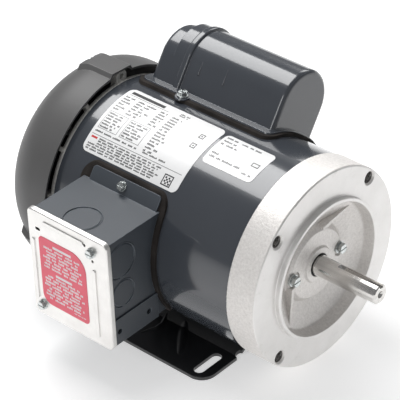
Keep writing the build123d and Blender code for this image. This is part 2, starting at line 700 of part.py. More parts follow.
def switch_arm():
    """Contact lever: a ring round the shaft on a leg from the pivot, with a tongue on top."""
    blade = tube(-100.6, -99.6, 20.0, 12.6)
    blade += block((-100.6, -99.6), (-4.5, 4.5), (ARM_PIVOT_Z, -14.0))
    blade += block((-100.6, -99.6), (-3.5, 3.5), (18.0, 44.0))
    blade += cross_bar(ARM_PIVOT_X, ARM_PIVOT_Z, 5.5, 2.2)
    return blade - cross_bar(ARM_PIVOT_X, ARM_PIVOT_Z, 6.5, 1.25)


def switch_screws():
    """Three screws that hold the switch board."""
    screw = washer_head_screw(5.0, 1.5, 3.0, 2.4)
    place = Pos(BOARD_X[1], 0, BOARD_POST_DISTANCE) * Rot(Y=90)
    return [at_clock(clock, place * screw) for clock in BOARD_POST_CLOCKS]


# ---- Start capacitor and its cover ----
CAPACITOR_TERMINAL_X = -56.0
CAPACITOR_LENGTH = 86.0
CAPACITOR_R = 21.5
CAPACITOR_DISTANCE = 104.6


def arch(x_range, half_width, crown):
    """A block with straight sides and a half-round top, standing on the shaft axis."""
    section = Pos(0, (crown - half_width) / 2) * Rectangle(2 * half_width, crown - half_width)
    section += Pos(0, crown - half_width) * Circle(half_width)
    return extrude(Plane.YZ.offset(x_range[0]) * section, amount=x_range[1] - x_range[0])


def end_outline(shape, x):
    """The edges of a shape's outline that lie in one cross-section plane."""
    return shape.edges().filter_by_position(Axis.X, x - 0.01, x + 0.01)


def cap_outside():
    """Outer form of the capacitor cover, with its rear step and its bead."""
    main = arch((CAP_STEP_X, CAP_FRONT_X), CAP_HALF_WIDTH, CAP_CROWN)
    upper = [e for e in end_outline(main, CAP_FRONT_X) if e.center().Z > 30]
    main = fillet(upper, 3.6)
    rear = arch((CAP_BACK_X, CAP_STEP_X), CAP_HALF_WIDTH, CAP_CROWN - CAP_STEP_DROP)
    upper = [e for e in end_outline(rear, CAP_BACK_X) if e.center().Z > 30]
    rear = fillet(upper, 5.0)
    bead = arch((-66.4, -60.2), CAP_HALF_WIDTH + 1.9, CAP_CROWN + 1.9)
    rims = [e for x in (-66.4, -60.2) for e in end_outline(bead, x) if e.center().Z > 30]
    return main + rear + fillet(rims, 1.7)


def capacitor_cover():
    """Drawn steel cover: hollow arch on a flange that follows the barrel."""
    seat = BARREL_R + CAP_GASKET
    flange_r = seat + CAP_WALL
    footprint = RectangleRounded(CAP_FRONT_X - CAP_BACK_X + 6.5, 2 * CAP_HALF_WIDTH + 13.0, 6.0)
    footprint = Pos((CAP_FRONT_X + CAP_BACK_X) / 2, 0) * footprint
    for side in (-1, 1):
        footprint += Pos(CAP_SCREW_X, side * CAP_SCREW_OFFSET) * Circle(6.0)
    flange = extrude(Plane.XY.offset(60) * footprint, amount=40)
    flange &= tube(CAP_BACK_X - 10, CAP_FRONT_X + 10, flange_r, seat)
    shell = cap_outside()
    half, top = CAP_HALF_WIDTH - CAP_WALL, CAP_CROWN - CAP_WALL
    step, back = CAP_STEP_X + CAP_WALL, CAP_BACK_X + CAP_WALL
    inside = arch((step, CAP_FRONT_X - CAP_WALL), half, top)
    inside += arch((back, step + 1), half, top - CAP_STEP_DROP)
    cover = shell + flange - inside - tube(CAP_BACK_X - 10, CAP_FRONT_X + 10, seat)
    cover = at_clock(CAP_CLOCK, cover)
    for clock in CAP_SCREW_CLOCKS:
        cover -= stud(CAP_SCREW_X, clock, 70, 95, SMALL_SCREW_R)
    return cover


def capacitor_gasket():
    """Foam gasket between the capacitor cover and the barrel."""
    outer = patch((CAP_BACK_X - 6.0, CAP_FRONT_X + 6.0), CAP_HALF_WIDTH + 9.8, 9.0, BARREL_R,
                  BARREL_R + CAP_GASKET, CAP_CLOCK)
    window = arch((CAP_BACK_X + 4, CAP_FRONT_X - 4), CAP_HALF_WIDTH - 4, 120)
    gasket = outer - at_clock(CAP_CLOCK, window)
    for clock in CAP_SCREW_CLOCKS:
        gasket -= stud(CAP_SCREW_X, clock, 70, 95, SMALL_SCREW_R)
    return gasket


def capacitor_cover_screws():
    """Hex-washer screws on the two flange lugs."""
    seat = BARREL_R + CAP_GASKET + CAP_WALL
    screw = washer_head_screw(seat - BORE_R + 2, SMALL_SCREW_R, 4.4, 4.0)
    return [at_clock(c, Pos(CAP_SCREW_X, 0, seat) * screw) for c in CAP_SCREW_CLOCKS]


def in_cover(shape):
    """Set a piece made on the capacitor's own axis in place, terminals towards the fan end."""
    place = Pos(CAPACITOR_TERMINAL_X, 0, CAPACITOR_DISTANCE) * Rot(Z=180)
    return at_clock(CAP_CLOCK, place * shape)


def start_capacitor():
    """Round start capacitor with a raised rim at its terminal end."""
    return in_cover(tube(-CAPACITOR_LENGTH, 0, CAPACITOR_R) - tube(-2, 1, CAPACITOR_R - 2))


def capacitor_terminals():
    """Two double blade terminals on the capacitor's end, bridged by a bleed resistor."""
    pieces = []
    for y in (-9.0, 9.0):
        foot = block((-2, -1), (y - 4, y + 4), (-4, 4))
        for z in (-3.6, 2.8):
            foot += block((-2, 6), (y - 3.2, y + 3.2), (z, z + 0.8))
        pieces.append(in_cover(foot))
    resistor = Rot(X=90) * (Cylinder(1.6, 9.0) + Cylinder(0.4, 11.4))
    return pieces + [in_cover(Pos(2, 0, 0) * resistor)]


def capacitor_boot():
    """Insulating cap over the terminals."""
    cup = tube(-6, 8, CAPACITOR_R + 1.2, CAPACITOR_R) + tube(7, 8, CAPACITOR_R + 1.2)
    return in_cover(cup)


def capacitor_pad():
    """Foam pad that the capacitor rests on."""
    pad = block((-45.0, 22.0), (-12.0, 12.0), (78.0, 92.0)) - tube(-80.0, 30.0, BARREL_R)
    pad -= Pos(0, 0, CAPACITOR_DISTANCE) * tube(-80.0, 30.0, CAPACITOR_R)
    return at_clock(CAP_CLOCK, pad)


def grommet(x, clock, radius):
    """Rubber grommet in a lead hole of the barrel."""
    ring = Circle(radius) - Circle(radius - 2.5)
    lip = Circle(radius + 1.5) - Circle(radius - 2.5)
    body = extrude(Plane.XY.offset(BORE_R - 4) * ring, amount=BARREL_WALL + 6)
    body += extrude(Plane.XY.offset(BARREL_R + 0.3) * lip, amount=1.6)
    return at_clock(clock, Pos(x, 0, 0) * body)


# ---- Conduit box ----
BOX_SEAT_R = BARREL_R + BOX_GASKET
CHANNEL_WALL = 1.3
TOP_KNOCKOUT = (-35.8, -111.7, 14.2)
SIDE_KNOCKOUTS = ((-112.8, 23.5, 14.2), (-112.4, -6.0, 11.1))
EAR_HOLES = ((-119.8, -37.0), (-87.9, -37.0))
TAB_X = (-68.0, 0.6)
GROUND_SCREW = (-54.0, -112.0)


def knockout_groove(radius):
    """Cutter for a knockout's scored ring, with one bridge left in it, about +Z."""
    ring = Circle(radius + 0.5) - Circle(radius - 0.5)
    ring -= Pos(0, -radius) * Rectangle(3.0, 3.0)
    return extrude(ring, amount=0.6, both=True)


def curved_tab(x_range, first_clock, last_clock, corner):
    """A tab of box sheet that follows the barrel between two clock angles."""
    middle = (first_clock + last_clock) / 2
    half_chord = (BOX_SEAT_R + BOX_WALL) * sin(radians((last_clock - first_clock) / 2))
    return patch(x_range, half_chord, corner, BOX_SEAT_R, BOX_SEAT_R + BOX_WALL, middle)


def conduit_box():
    """Folded sheet box, open at the front and to the barrel, with knockouts and two tabs."""
    (x0, x1), (z0, z1) = BOX_X, BOX_Z
    box = block(BOX_X, (BOX_FRONT_Y, -60.0), BOX_Z)
    room_x, room_z = (x0 + BOX_WALL, x1 - BOX_WALL), (z0 + BOX_WALL, z1 - BOX_WALL)
    box -= block(room_x, (BOX_FRONT_Y - 1, -50.0), room_z)
    box -= tube(x0 - 1, x1 + 1, BOX_SEAT_R)
    box += curved_tab(TAB_X, 50.0, 59.3, 3.0)
    box += curved_tab((-60.0, -12.0), 107.5, 122.6, 3.0)
    for x, z in PLATE_SCREWS:
        ear_z = (z - 5, z1 - 0.5) if z > 0 else (z0 + 0.5, z + 5)
        box += block((x - 6, x + 6), (BOX_FRONT_Y, BOX_FRONT_Y + 1.5), ear_z)
        box -= Pos(x, BOX_FRONT_Y, z) * Rot(X=90) * Cylinder(SMALL_SCREW_R, 12)
    for x, clock in BOX_SCREWS:
        box -= stud(x, clock, 70, 95, SMALL_SCREW_R)
    box -= Pos(GROUND_SCREW[0], GROUND_SCREW[1], z0) * Cylinder(SMALL_SCREW_R, 8)
    box -= Pos(TOP_KNOCKOUT[0], TOP_KNOCKOUT[1], z1) * knockout_groove(TOP_KNOCKOUT[2])
    for y, z, radius in SIDE_KNOCKOUTS:
        for x in (x0, x1):
            box -= Pos(x, y, z) * Rot(Z=90) * Rot(X=90) * knockout_groove(radius)
    for y, z in EAR_HOLES:
        box -= Pos(0, y, z) * Rot(Y=90) * Cylinder(2.4, 200)
    return box


def conduit_box_channel():
    """U-shaped channel that wraps the bottom of the box, with ears up both sides."""
    (x0, x1), floor = BOX_X, BOX_Z[0]
    y_range = (BOX_FRONT_Y + 3.5, -78.0)
    outer = block((x0 - CHANNEL_WALL, x1 + CHANNEL_WALL), y_range, (floor - CHANNEL_WALL, floor + 21.5))
    channel = outer - block(BOX_X, (-130.0, -50.0), (floor, 0.0)) - tube(-90, 10, BOX_SEAT_R)
    for y, z in EAR_HOLES:
        channel -= Pos(0, y, z) * Rot(Y=90) * Cylinder(2.4, 200)
    return channel


def conduit_box_gasket():
    """Rubber gasket between the conduit box and the barrel."""
    x_range = (BOX_X[0] - 3.4, BOX_X[1] + 4.5)
    high, low = BARREL_R * cos(radians(47.0)), BARREL_R * cos(radians(131.5))
    outline = RectangleRounded(x_range[1] - x_range[0], high - low, 11.0)
    place = Plane.XZ * Pos((x_range[0] + x_range[1]) / 2, (high + low) / 2)
    gasket = extrude(place * outline, amount=100.0) & tube(-100, 20, BOX_SEAT_R, BARREL_R)
    gasket -= block((-69.0, -6.0), (-100.0, -20.0), (-25.0, 34.0))
    for x, clock in BOX_SCREWS:
        gasket -= stud(x, clock, 70, 95, SMALL_SCREW_R)
    return gasket


def conduit_box_screws():
    """Two screws that hold the box's tabs to the barrel."""
    seat = BOX_SEAT_R + BOX_WALL
    screw = washer_head_screw(seat - BORE_R - 0.2, SMALL_SCREW_R, 4.1, 3.4)
    return [at_clock(clock, Pos(x, 0, seat) * screw) for x, clock in BOX_SCREWS]


def conduit_box_cover():
    """Bare steel cover plate with a turned-back rim, beads, a slot and screw holes."""
    middle = (sum(PLATE_X) / 2, sum(PLATE_Z) / 2)
    size = (PLATE_X[1] - PLATE_X[0], PLATE_Z[1] - PLATE_Z[0])
    front = BOX_FRONT_Y - PLATE_THICKNESS
    place = Plane.XZ.offset(-BOX_FRONT_Y - 3.0) * Pos(*middle)
    plate = extrude(place * RectangleRounded(*size, 5.0), amount=PLATE_THICKNESS + 3.0)
    rim = plate.faces().sort_by(Axis.Y)[0].edges()
    plate = fillet(rim, 1.1)
    room = RectangleRounded(size[0] - 2.4, size[1] - 2.4, 4.0)
    plate -= extrude(place * room, amount=3.0)
    for x, z, length, turn in ((-39.5, 38.6, 42.0, 0), (-9.2, -12.0, 62.0, 90), (-72.6, -8.0, 56.0, 90)):
        bead = SlotOverall(length, 3.4, rotation=turn)
        plate += extrude(Plane.XZ.offset(-front - 0.3) * Pos(x, z) * bead, amount=1.1)
    plate -= extrude(Plane.XZ.offset(100) * Pos(-66.6, 30.6) * SlotOverall(5.0, 2.4), amount=60)
    for x, z in ((-10.0, 26.6), (-17.4, 38.0)):
        plate -= Pos(x, -128, z) * Rot(X=90) * Cylinder(1.2, 12)
    for x, z in PLATE_SCREWS:
        plate -= Pos(x, -128, z) * Rot(X=90) * Cylinder(SMALL_SCREW_R, 12)
    return plate


def conduit_cover_screws():
    """Two screws in opposite corners of the cover plate."""
    front = BOX_FRONT_Y - PLATE_THICKNESS
    screw = washer_head_screw(9.0, SMALL_SCREW_R, 4.2, 3.4)
    return [Pos(x, front, z) * Rot(X=90) * screw for x, z in PLATE_SCREWS]


def cover_label():
    """Self-adhesive label on the cover plate."""
    front = BOX_FRONT_Y - PLATE_THICKNESS
    outline = rounded_face(
        ((-66.4, 25.4, 4.0), (-18.0, 25.4, 15.0), (-18.0, -36.6, 4.0), (-66.4, -36.6, 9.0)),
        lambda x, z: (x, front, z),
    )
    return extrude(outline, amount=0.25, dir=(0, -1, 0))


def terminal_board():
    """Moulded board on two legs behind the cover, with a hole for the leads."""
    board = block((-68.0, -10.0), (-96.0, -93.0), (-24.0, 24.0))
    board -= Pos(LEAD_HOLE[0], -94.0, 0) * Rot(X=90) * Cylinder(8.0, 10)
    for x_range in ((-41.0, -36.0), (-17.0, -11.0)):
        board += block(x_range, (-94.0, -70.0), (-8.0, 8.0))
    return board - tube(-80, 0, BARREL_R)


STUD_PLACES = ((-62.0, 17.0), (-30.0, 17.0), (-62.0, -17.0), (-30.0, -17.0))


def terminal_studs():
    """Four brass studs with nuts on the terminal board."""
    studs = []
    for x, z in STUD_PLACES:
        stem = Cylinder(2.0, 9.0, align=(Align.CENTER, Align.CENTER, Align.MIN))
        nut = Pos(0, 0, 2.4) * hex_head(2.6, 7.0)
        studs.append(Pos(x, -96.0, z) * Rot(X=90) * (stem + nut))
    return studs


def motor_leads():
    """Four leads from the barrel through the board to the studs."""
    leads = []
    for x, z in STUD_PLACES:
        start = Vector(LEAD_HOLE[0] + (4.0 if x > -36 else -4.0), -72.0, 4.0 if z > 0 else -4.0)
        bend = Vector(start.X, -99.2, start.Z)
        run = Vector(x, -99.2, z) - bend
        end = bend + run * ((run.length - 3.9) / run.length)
        path = FilletPolyline(start, bend, end, radius=5.0)
        section = Plane(start, z_dir=(0, -1, 0)) * Circle(1.5)
        leads.append(sweep(section, path=path))
    return leads


def ground_screw():
    """Grounding screw on the floor of the conduit box."""
    screw = washer_head_screw(1.4, SMALL_SCREW_R, 4.6, 4.0)
    return Pos(GROUND_SCREW[0], GROUND_SCREW[1], BOX_Z[0] + BOX_WALL) * screw


# ---- Labels ----
def barrel_label(x_range, first_clock, last_clock, corner):
    """A thin label wrapped on the barrel."""
    half_chord = BARREL_R * sin(radians((last_clock - first_clock) / 2))
    middle = (first_clock + last_clock) / 2
    return patch(x_range, half_chord, corner, BARREL_R, BARREL_R + 0.25, middle)


def write_all():
    """Write every sub-part."""
    save("stator_shell", stator_shell())
    save("base", base())
    save("drive_endbell", drive_endbell())
    save("bearing_cap", bearing_cap())
    save("bearing_cap_screws", *bearing_cap_screws())
    save("bearing_cap_washers", *bearing_cap_washers())
    save("shaft_seal", shaft_seal())
    save("rear_endbell", rear_endbell())
    save("through_bolts", *through_bolts())
    save("wave_spring", wave_spring())
    for side, x_start in (("drive", DRIVE_BEARING_X), ("rear", REAR_BEARING_X)):
        for piece, solids in bearing_pieces(x_start).items():
            save(f"{side}_bearing_{piece}", *solids)
    save("stator_core", stator_core())
    save("main_winding", winding((54.6, 61.6), (55.0, 71.0), 27.0))
    save("start_winding", winding((47.2, 53.4), (46.2, 54.2), 24.0))
    save("shaft", shaft())
    save("rotor_core", rotor_core())
    save("rotor_cage", rotor_cage())
    save("cooling_fan", cooling_fan())
    save("fan_clip", fan_clip())
    save("fan_cover", fan_cover())
    save("fan_cover_screws", *fan_cover_screws())
    save("governor_plate", governor_plate())
    save("flyweight_upper", flyweight())
    save("flyweight_lower", at_clock(180.0, flyweight()))
    save("flyweight_pins", *flyweight_pins())
    save("governor_collar", governor_collar())
    save("switch_board", switch_board())
    save("switch_arm", switch_arm())
    save("switch_pin", cross_bar(ARM_PIVOT_X, ARM_PIVOT_Z, 8.5, 1.2))
    save("moving_contact", bar(-99.6, -98.9, 2.6, 0.0, 40.0))
    save("fixed_contact", bar(BOARD_X[1], -100.65, 2.6, 0.0, 40.0))
    save("switch_screws", *switch_screws())
    save("capacitor_cover", capacitor_cover())
    save("capacitor_gasket", capacitor_gasket())
    save("capacitor_cover_screws", *capacitor_cover_screws())
    save("start_capacitor", start_capacitor())
    save("capacitor_terminals", *capacitor_terminals())
    save("capacitor_boot", capacitor_boot())
    save("capacitor_pad", capacitor_pad())
    save("lead_grommets", grommet(*LEAD_HOLE), grommet(*CAP_LEAD_HOLE))
    save("conduit_box", conduit_box())
    save("conduit_box_channel", conduit_box_channel())
    save("conduit_box_gasket", conduit_box_gasket())
    save("conduit_box_screws", *conduit_box_screws())
    save("conduit_box_cover", conduit_box_cover())
    save("conduit_cover_screws", *conduit_cover_screws())
    save("cover_label", cover_label())
    save("terminal_board", terminal_board())
    save("terminal_studs", *terminal_studs())
    save("motor_leads", *motor_leads())
    save("ground_screw", ground_screw())
    save("rating_label", barrel_label((-88.7, 8.3), -1.5, 46.0, 5.0))
    save("data_label", barrel_label((11.3, 59.5), 0.5, 23.5, 4.0))


os.makedirs("parts", exist_ok=True)
write_all()
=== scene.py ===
import json
import math
import random

import bpy
from mathutils import Matrix, Vector


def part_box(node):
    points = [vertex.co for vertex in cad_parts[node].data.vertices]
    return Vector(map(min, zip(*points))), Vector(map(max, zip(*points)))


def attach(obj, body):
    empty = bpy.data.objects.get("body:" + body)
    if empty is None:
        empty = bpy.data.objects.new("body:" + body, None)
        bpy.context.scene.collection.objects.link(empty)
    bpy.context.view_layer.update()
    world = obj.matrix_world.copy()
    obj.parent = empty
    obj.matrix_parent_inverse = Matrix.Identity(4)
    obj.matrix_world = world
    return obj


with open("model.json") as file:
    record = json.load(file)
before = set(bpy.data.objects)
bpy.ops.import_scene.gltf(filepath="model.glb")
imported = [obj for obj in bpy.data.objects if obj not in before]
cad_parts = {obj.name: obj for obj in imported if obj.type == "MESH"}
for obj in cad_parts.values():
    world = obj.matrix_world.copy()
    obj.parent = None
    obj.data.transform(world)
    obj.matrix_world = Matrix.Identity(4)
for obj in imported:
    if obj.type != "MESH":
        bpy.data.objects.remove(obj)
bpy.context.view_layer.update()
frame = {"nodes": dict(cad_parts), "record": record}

NODES = frame["nodes"]
MM = 0.001


def row(x, y, z):
    """A point given in millimetres, in metres."""
    return Vector((x, y, z)) * MM


# ---- Places read from the frame ----
SHAFT_LOW, SHAFT_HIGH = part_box("shaft")
SHELL_LOW, SHELL_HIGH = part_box("stator_shell")
AXIS_Z = (SHAFT_LOW.z + SHAFT_HIGH.z) / 2
BARREL_R = (SHELL_HIGH.z - SHELL_LOW.z) / 2
PILOT_HEIGHT = 4.1 * MM
FACE_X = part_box("drive_endbell")[1].x - PILOT_HEIGHT
HOLE_PLACE = 52.76 * MM
TURNED_FROM = 54.6 * MM
TAPPED_WITHIN = 4.7 * MM


# ---- Camera ----
def camera():
    """A long lens, above and in front of the shaft end on the conduit box's side."""
    azimuth, elevation, roll = (math.radians(a) for a in (43.28, 34.95, 2.41))
    back = Vector(
        (
            math.sin(azimuth) * math.cos(elevation),
            -math.cos(azimuth) * math.cos(elevation),
            math.sin(elevation),
        )
    )
    right = (-back).cross(Vector((0, 0, 1))).normalized()
    down = (-back).cross(right)
    across = right * math.cos(roll) + down * math.sin(roll)
    below = down * math.cos(roll) - right * math.sin(roll)
    data = bpy.data.cameras.new("camera")
    data.sensor_width = 36.0
    data.lens = 202.92
    data.clip_start, data.clip_end = 0.1, 50.0
    cam = bpy.data.objects.new("camera", data)
    turn = Matrix((across, -below, back)).transposed()
    cam.matrix_world = Matrix.Translation(row(958.5, -1040.4, 1094.1)) @ turn.to_4x4()
    bpy.context.scene.collection.objects.link(cam)
    bpy.context.scene.camera = cam


# ---- Shader helper ----
class Shader:
    """Builds one material's nodes: each call adds a node and returns its main output."""

    def __init__(self, name):
        self.material = bpy.data.materials.new(name)
        self.material.use_nodes = True
        self.tree = self.material.node_tree
        self.tree.nodes.clear()
        self.surface = self.add("ShaderNodeBsdfPrincipled")
        output = self.add("ShaderNodeOutputMaterial")
        self.tree.links.new(self.surface.outputs["BSDF"], output.inputs["Surface"])
        coordinates = self.add("ShaderNodeTexCoord")
        self.place = coordinates.outputs["Object"]

    def add(self, kind, **settings):
        node = self.tree.nodes.new(kind)
        for key, value in settings.items():
            setattr(node, key, value)
        return node

    def feed(self, socket, value):
        """Links an output to a socket, or sets the socket to a constant."""
        if isinstance(value, bpy.types.NodeSocket):
            self.tree.links.new(value, socket)
        else:
            socket.default_value = value

    def put(self, node, **inputs):
        """Sets or links a node's inputs by name, with _ for a space."""
        for key, value in inputs.items():
            self.feed(node.inputs[key.replace("_", " ")], value)
        return node

    def base(self, **inputs):
        self.put(self.surface, **inputs)
        return self

    def noise(self, scale, detail=3.0, rough=0.5, vector=None):
        node = self.add("ShaderNodeTexNoise")
        self.put(node, Vector=vector or self.place, Scale=scale, Detail=detail, Roughness=rough)
        return node.outputs["Fac"]

    def cells(self, scale):
        node = self.add("ShaderNodeTexVoronoi")
        self.put(node, Vector=self.place, Scale=scale)
        return node.outputs["Distance"]

    def math(self, operation, a, b=0.0):
        node = self.add("ShaderNodeMath", operation=operation)
        for socket, value in zip(node.inputs, (a, b)):
            self.feed(socket, value)
        return node.outputs[0]

    def ramp(self, value, low, high, out_low=0.0, out_high=1.0):
        node = self.add("ShaderNodeMapRange", clamp=True)
        for socket, number in zip(node.inputs, (value, low, high, out_low, out_high)):
            self.feed(socket, number)
        return node.outputs[0]

    def mix(self, factor, a, b):
        """A mix of two colours; each is a tuple or an output."""
        node = self.add("ShaderNodeMix", data_type="RGBA")
        for socket, value in ((node.inputs[0], factor), (node.inputs[6], a), (node.inputs[7], b)):
            self.feed(socket, (*value, 1.0) if isinstance(value, tuple) else value)
        return node.outputs[2]

    def stretch(self, x, y, z):
        node = self.add("ShaderNodeMapping")
        self.put(node, Vector=self.place, Scale=(x, y, z))
        return node.outputs["Vector"]

    def axes(self):
        """X along the shaft, the distance from the shaft's axis, and the height above it."""
        split = self.put(self.add("ShaderNodeSeparateXYZ"), Vector=self.place)
        x, y, z = split.outputs
        up = self.math("SUBTRACT", z, AXIS_Z)
        squares = self.math("ADD", self.math("MULTIPLY", y, y), self.math("MULTIPLY", up, up))
        radius = self.math("SQRT", squares)
        return x, radius, up

    def turned(self, x_scale, radius_scale):
        """Coordinates that vary along and away from the shaft but not around it."""
        x, radius, _ = self.axes()
        node = self.add("ShaderNodeCombineXYZ")
        self.tree.links.new(self.math("MULTIPLY", x, x_scale), node.inputs[0])
        self.tree.links.new(self.math("MULTIPLY", radius, radius_scale), node.inputs[1])
        return node.outputs[0]

    def bump(self, height, distance, strength=1.0, under=None):
        node = self.add("ShaderNodeBump")
        self.put(node, Height=height, Distance=distance, Strength=strength)
        if under is not None:
            self.tree.links.new(under, node.inputs["Normal"])
        return node.outputs["Normal"]

    def rounded(self, radius):
        """A softened normal along sharp edges, and a mask that is 1 on those edges."""
        node = self.add("ShaderNodeBevel", samples=6)
        node.inputs["Radius"].default_value = radius
        flat = self.add("ShaderNodeNewGeometry").outputs["Normal"]
        product = self.add("ShaderNodeVectorMath", operation="DOT_PRODUCT")
        self.tree.links.new(node.outputs[0], product.inputs[0])
        self.tree.links.new(flat, product.inputs[1])
        return node.outputs[0], self.ramp(product.outputs["Value"], 0.998, 0.93)


def gloss_paint(name, dark, light, roughness, coat, coat_roughness=0.1, peel=0.00003):
    """Sprayed enamel with orange peel, faint mottling, a little dust and a painted highlight along
    sharp edges.
    """
    s = Shader(name)
    colour = s.mix(s.ramp(s.noise(16.0, 3.0, 0.5), 0.3, 0.7), dark, light)
    dust = s.ramp(s.noise(1900.0, 2.0, 0.6), 0.7, 0.84, 0.0, 0.06)
    colour = s.mix(dust, colour, (0.25, 0.25, 0.25))
    rounded, edge = s.rounded(0.7 * MM)
    # Painted highlight: sharp edges are lightened in patches towards a pale tint of the paint.
    edge_highlight = s.math("MULTIPLY", edge, s.ramp(s.noise(140.0, 4.0), 0.3, 0.6, 0.1, 0.55))
    colour = s.mix(edge_highlight, colour, tuple(min(1.0, c * 4.5 + 0.05) for c in light))
    rough = s.ramp(s.noise(60.0, 4.0), 0.3, 0.7, roughness * 0.96, roughness * 1.04)
    s.base(Base_Color=colour, Roughness=rough, Normal=s.bump(s.noise(850.0, 2.0), peel, 0.3, rounded))
    s.base(Coat_Weight=coat, Coat_Roughness=coat_roughness, Specular_IOR_Level=0.5)
    return s.material


def metal(name, dark, light, roughness, grain, depth, vector=None):
    """Bare metal with a grain in its bump, colour and roughness."""
    s = Shader(name)
    source = vector(s) if vector else s.stretch(1, 1, 1)
    texture = s.noise(grain, 4.0, 0.6, source)
    colour = s.mix(s.ramp(texture, 0.3, 0.7), dark, light)
    rough = s.ramp(texture, 0.25, 0.75, roughness * 0.7, roughness * 1.3)
    rounded, edge = s.rounded(0.4 * MM)
    # Painted shade: the colour darkens along sharp edges and in creases.
    colour = s.mix(s.math("MULTIPLY", edge, 0.4), colour, tuple(c * 0.6 for c in dark))
    s.base(Base_Color=colour, Metallic=1.0, Roughness=rough)
    s.base(Normal=s.bump(texture, depth, 0.6, rounded))
    return s.material


def plastic(name, dark, light, roughness, grain=900.0, depth=0.00005):
    """Moulded plastic with a fine matte texture and slight unevenness."""
    s = Shader(name)
    colour = s.mix(s.ramp(s.noise(40.0, 4.0), 0.35, 0.65), dark, light)
    rough = s.ramp(s.noise(120.0, 3.0), 0.3, 0.7, roughness * 0.85, min(1.0, roughness * 1.15))
    s.base(Base_Color=colour, Roughness=rough, Normal=s.bump(s.noise(grain, 3.0), depth, 0.6))
    return s.material


def around(x_scale, radius_scale):
    """A grain that runs round the shaft's axis."""
    return lambda s: s.turned(x_scale, radius_scale)


def cast_metal(name, metallic, shades):
    """Die-cast aluminium: granular where cast, finely turned on the face and rabbet, with painted shade
    in the face holes.
    """
    s = Shader(name)
    x, radius, up = s.axes()
    on_face = s.math("GREATER_THAN", x, FACE_X - 0.6 * MM)
    turned = s.math("MULTIPLY", s.math("GREATER_THAN", radius, TURNED_FROM), on_face)
    across = s.put(s.add("ShaderNodeSeparateXYZ"), Vector=s.place).outputs[1]
    hole_y = s.math("SUBTRACT", s.math("ABSOLUTE", across), HOLE_PLACE)
    hole_z = s.math("SUBTRACT", s.math("ABSOLUTE", up), HOLE_PLACE)
    squares = s.math("ADD", s.math("POWER", hole_y, 2.0), s.math("POWER", hole_z, 2.0))
    from_hole = s.math("SQRT", squares)
    # Painted shade: the walls of the four face holes, back from the face, are coloured dark.
    inside = s.math("LESS_THAN", from_hole, TAPPED_WITHIN)
    hole_shade = s.math("MULTIPLY", inside, s.math("LESS_THAN", x, FACE_X - 1.3 * MM))
    grains = s.noise(520.0, 5.0, 0.75)
    clouds = s.noise(30.0, 5.0, 0.6)
    rings = s.noise(1.0, 3.0, 0.7, s.turned(5200.0, 5200.0))
    cast = s.mix(s.ramp(grains, 0.3, 0.7), shades[0], shades[1])
    cut = s.mix(s.ramp(clouds, 0.35, 0.7), (0.80, 0.785, 0.765), (0.90, 0.885, 0.87))
    handled = s.ramp(s.noise(75.0, 6.0, 0.7), 0.58, 0.7, 0.0, 0.3)
    cut = s.mix(handled, cut, (0.56, 0.54, 0.51))
    colour = s.mix(hole_shade, s.mix(turned, cast, cut), (0.2, 0.19, 0.18))
    rough = s.ramp(turned, 0.0, 1.0, 0.5, 0.34)
    varied = s.math("MULTIPLY", rough, s.ramp(clouds, 0.3, 0.7, 0.88, 1.15))
    pits = s.math("MULTIPLY", s.math("SUBTRACT", 1.0, turned), grains)
    rounded, _ = s.rounded(0.6 * MM)
    tooled = s.bump(s.math("MULTIPLY", turned, rings), 0.00003, 0.5, rounded)
    normal = s.bump(pits, 0.00045, 0.8, tooled)
    s.base(Base_Color=colour, Roughness=varied, Normal=normal, Metallic=metallic)
    return s.material


def ground_steel():
    """Ground shaft steel: fine turning rings, soft lengthwise streaks, darker stains and painted shade
    in the centre hole.
    """
    s = Shader("ground_steel")
    rings = s.noise(1.0, 3.0, 0.7, s.turned(9000.0, 900.0))
    streaks = s.noise(1.0, 3.0, 0.6, s.stretch(14.0, 420.0, 420.0))
    colour = s.mix(s.ramp(streaks, 0.3, 0.7), (0.60, 0.585, 0.565), (0.80, 0.785, 0.765))
    stained = s.ramp(s.noise(120.0, 4.0, 0.6), 0.6, 0.75, 0.0, 0.35)
    colour = s.mix(stained, colour, (0.25, 0.23, 0.2))
    _, radius, _ = s.axes()
    # Painted shade: the drilled centre hole in the shaft's end is coloured near black.
    centre_hole_shade = s.math("LESS_THAN", radius, 1.7 * MM)
    colour = s.mix(centre_hole_shade, colour, (0.04, 0.04, 0.04))
    s.base(Base_Color=colour, Metallic=1.0, Roughness=s.ramp(rings, 0.25, 0.75, 0.1, 0.2))
    s.base(Normal=s.bump(rings, 0.00003, 0.5))
    return s.material


def label_sheet(name, colour, shade):
    """Printed film with a slight ripple and soft sheen."""
    s = Shader(name)
    tone = s.mix(s.ramp(s.noise(70.0, 3.0), 0.3, 0.7), shade, colour)
    s.base(Base_Color=tone, Roughness=s.ramp(s.noise(150.0), 0.3, 0.7, 0.3, 0.42))
    s.base(Normal=s.bump(s.noise(90.0, 2.0), 0.00012, 0.25), Coat_Weight=0.25, Coat_Roughness=0.2)
    return s.material


def copper_strands():
    """Enamelled wire: fine strands that run around the end turns."""
    s = Shader("winding_wire")
    x, radius, _ = s.axes()
    strands = s.math("SINE", s.math("MULTIPLY", s.math("ADD", x, radius), 5200.0))
    mixed = s.noise(300.0, 3.0)
    colour = s.mix(s.ramp(mixed, 0.3, 0.7), (0.38, 0.13, 0.04), (0.72, 0.3, 0.11))
    s.base(Base_Color=colour, Metallic=0.75, Roughness=s.ramp(mixed, 0.3, 0.7, 0.28, 0.45))
    s.base(Normal=s.bump(strands, 0.00025, 0.7), Coat_Weight=0.5, Coat_Roughness=0.15)
    return s.material


